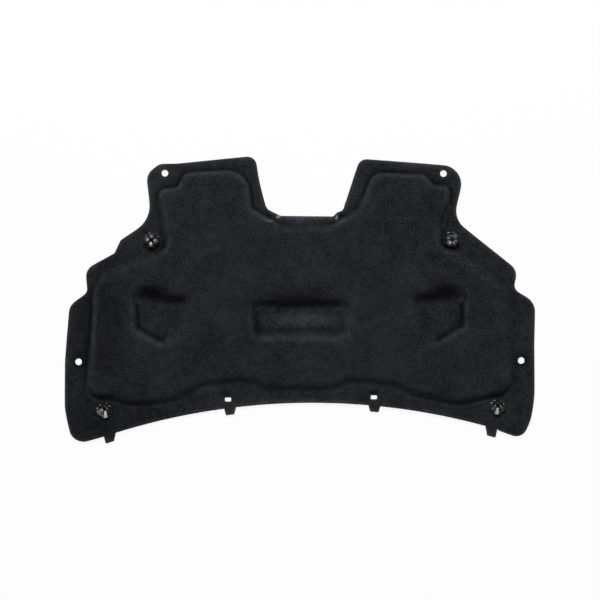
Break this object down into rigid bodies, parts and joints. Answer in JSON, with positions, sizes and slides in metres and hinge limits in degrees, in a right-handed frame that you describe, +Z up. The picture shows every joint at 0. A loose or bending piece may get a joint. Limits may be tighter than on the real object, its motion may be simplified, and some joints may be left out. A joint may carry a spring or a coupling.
{
  "type": "hood insulation pad",
  "caption": "Moulded black felt pad that lines a car hood, with a raised field, pressed recesses and plastic push-in clips.",
  "frame": {"origin": "under the middle of the pad's plan, level with its engine side", "axes": "+X across the car, +Y to the front edge with the latch notch, +Z up to the hood"},
  "size_m": [0.9994, 0.6095, 0.0351],
  "materials": {
    "felt": "matte black needle-punched felt",
    "clip_plastic": "glossy black moulded plastic"
  },
  "bodies": {
    "root": {"pad": "felt", "clip_front_left": "clip_plastic", "clip_front_right": "clip_plastic", "clip_rear_left": "clip_plastic", "clip_rear_right": "clip_plastic"}
  },
  "joints": []
}
